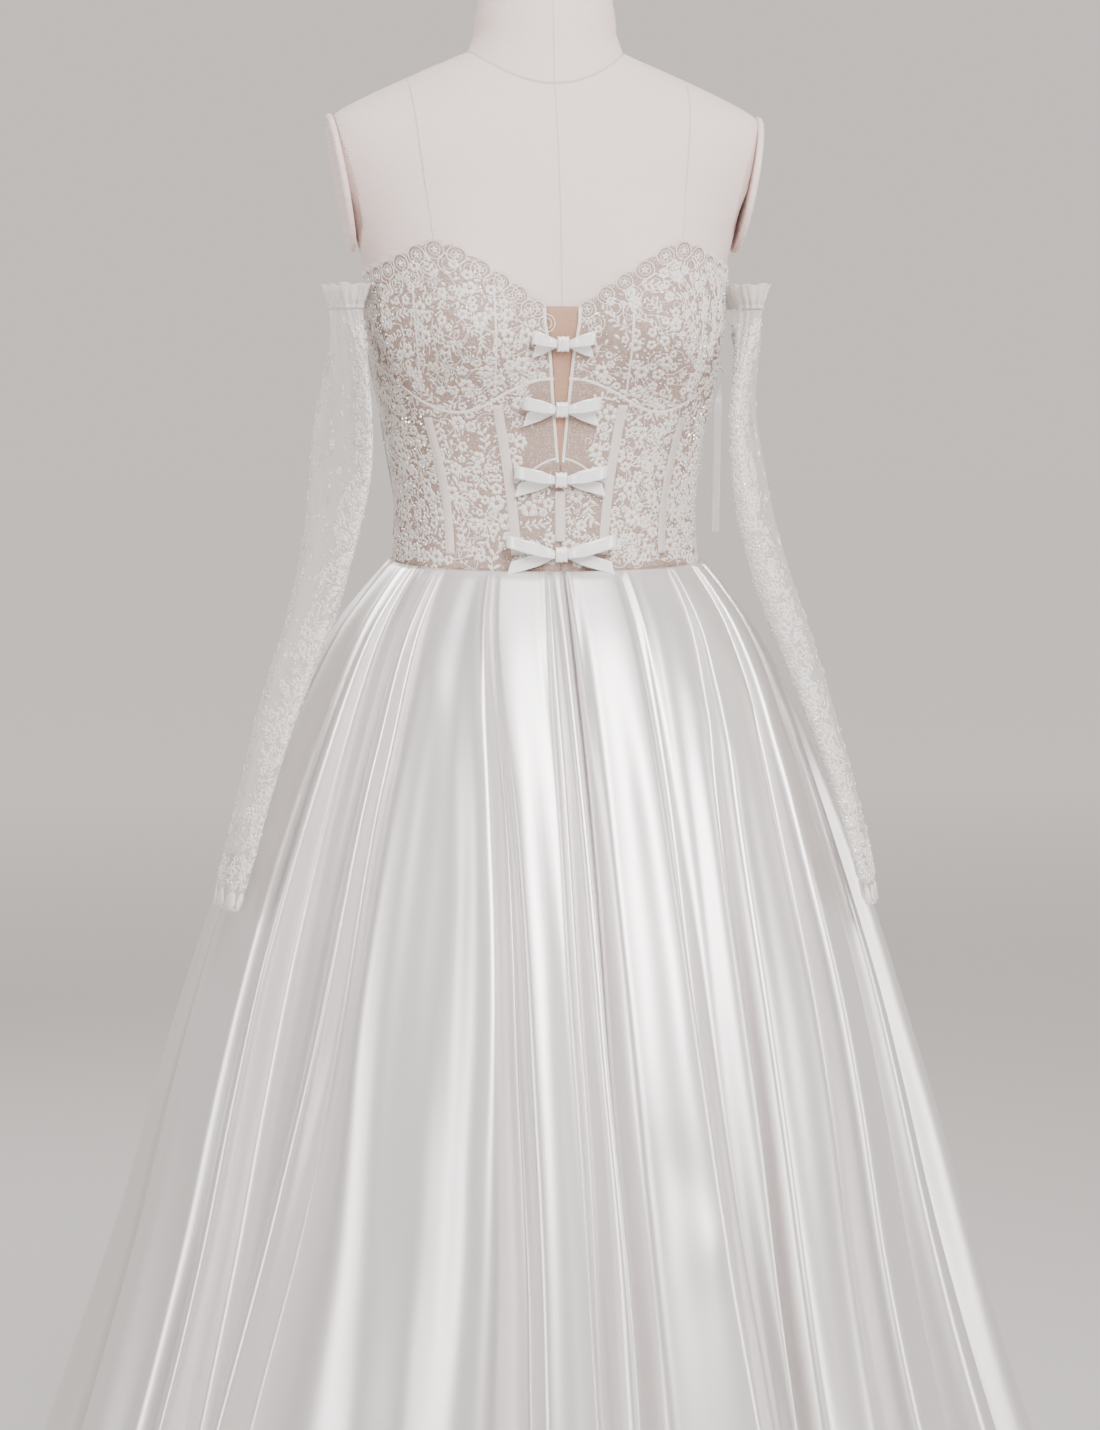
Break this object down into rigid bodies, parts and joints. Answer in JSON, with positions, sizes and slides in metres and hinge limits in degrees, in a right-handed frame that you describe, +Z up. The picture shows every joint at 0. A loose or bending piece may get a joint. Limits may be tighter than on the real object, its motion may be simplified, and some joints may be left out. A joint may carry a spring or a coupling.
{
  "type": "wedding dress on a dress form",
  "caption": "Strapless lace and satin wedding dress with a boned bodice, ribbon bows, loose lace sleeves and a pleated full skirt, on a limbless linen dress form with a round stand",
  "frame": {"origin": "middle of the underside of the round stand, on the floor", "axes": "+Z up, -Y the front of the dress, +X the right side as seen from the front"},
  "size_m": [1.0708, 1.0403, 1.5533],
  "materials": {
    "linen": "plain woven linen cover, matte",
    "painted_wood": "painted, eggshell",
    "steel": "brushed",
    "lace": "corded floral lace on fine net over blush mesh",
    "nude_mesh": "fine plain mesh",
    "ribbon_satin": "satin ribbon, soft sheen",
    "duchess_satin": "heavy satin with a broad soft sheen"
  },
  "bodies": {
    "root": {"back_button_1": "ribbon_satin", "back_button_2": "ribbon_satin", "back_button_3": "ribbon_satin", "back_button_4": "ribbon_satin", "back_button_5": "ribbon_satin", "back_button_6": "ribbon_satin", "back_button_7": "ribbon_satin", "bodice_back_left": "lace", "bodice_back_right": "lace", "bodice_center_left": "lace", "bodice_center_right": "lace", "bodice_cup_left": "lace", "bodice_cup_right": "lace", "bodice_front_left": "lace", "bodice_front_right": "lace", "bodice_insert": "nude_mesh", "bodice_side_back_left": "lace", "bodice_side_back_right": "lace", "bodice_side_left": "lace", "bodice_side_right": "lace", "bow_1_knot": "ribbon_satin", "bow_1_loops": "ribbon_satin", "bow_1_tails": "ribbon_satin", "bow_2_knot": "ribbon_satin", "bow_2_loops": "ribbon_satin", "bow_2_tails": "ribbon_satin", "bow_3_knot": "ribbon_satin", "bow_3_loops": "ribbon_satin", "bow_3_tails": "ribbon_satin", "bow_4_knot": "ribbon_satin", "bow_4_loops": "ribbon_satin", "bow_4_tails": "ribbon_satin", "channel_back_left": "ribbon_satin", "channel_back_right": "ribbon_satin", "channel_center": "ribbon_satin", "channel_princess_left": "ribbon_satin", "channel_princess_right": "ribbon_satin", "channel_side_left": "ribbon_satin", "channel_side_right": "ribbon_satin", "form_arm_plate_left": "linen", "form_arm_plate_right": "linen", "form_base": "steel", "form_neck_cap": "painted_wood", "form_pole": "steel", "form_torso": "linen", "ribbon_left": "ribbon_satin", "ribbon_right": "ribbon_satin", "skirt_back_left": "duchess_satin", "skirt_back_right": "duchess_satin", "skirt_front_left": "duchess_satin", "skirt_front_right": "duchess_satin", "skirt_side_left": "duchess_satin", "skirt_side_right": "duchess_satin", "sleeve_band_left": "lace", "sleeve_band_right": "lace", "sleeve_left": "lace", "sleeve_right": "lace"}
  },
  "joints": []
}
